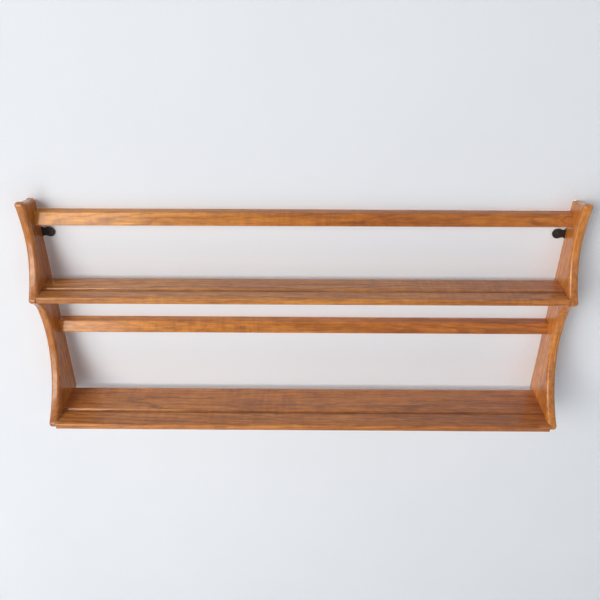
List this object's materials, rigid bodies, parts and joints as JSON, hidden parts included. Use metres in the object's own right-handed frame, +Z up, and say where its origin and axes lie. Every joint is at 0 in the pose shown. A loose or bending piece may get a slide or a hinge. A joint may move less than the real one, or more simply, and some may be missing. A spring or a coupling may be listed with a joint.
{
  "type": "wall shelf",
  "caption": "Two-tier wall plate rack: grooved shelves and leaning rails housed between scrolled side panels, hung on steel plates.",
  "frame": {"origin": "on the wall, midway between the two wall-screw holes of the hanging plates", "axes": "+X along the shelves to the viewer's right, -Y out of the wall towards the viewer, +Z up"},
  "size_m": [0.967, 0.128, 0.4324],
  "materials": {
    "elm": "satin lacquer over warm honey-brown stain",
    "beech": "bare",
    "bronzed_steel": "dark bronzed, satin",
    "screw_steel": "dull zinc"
  },
  "bodies": {
    "root": {"left_side": "elm", "right_side": "elm", "upper_shelf": "elm", "lower_shelf": "elm", "upper_rail": "elm", "lower_rail": "elm", "rail_dowels": "beech", "left_hanging_plate": "bronzed_steel", "right_hanging_plate": "bronzed_steel", "hanging_plate_screws": "screw_steel"}
  },
  "joints": []
}
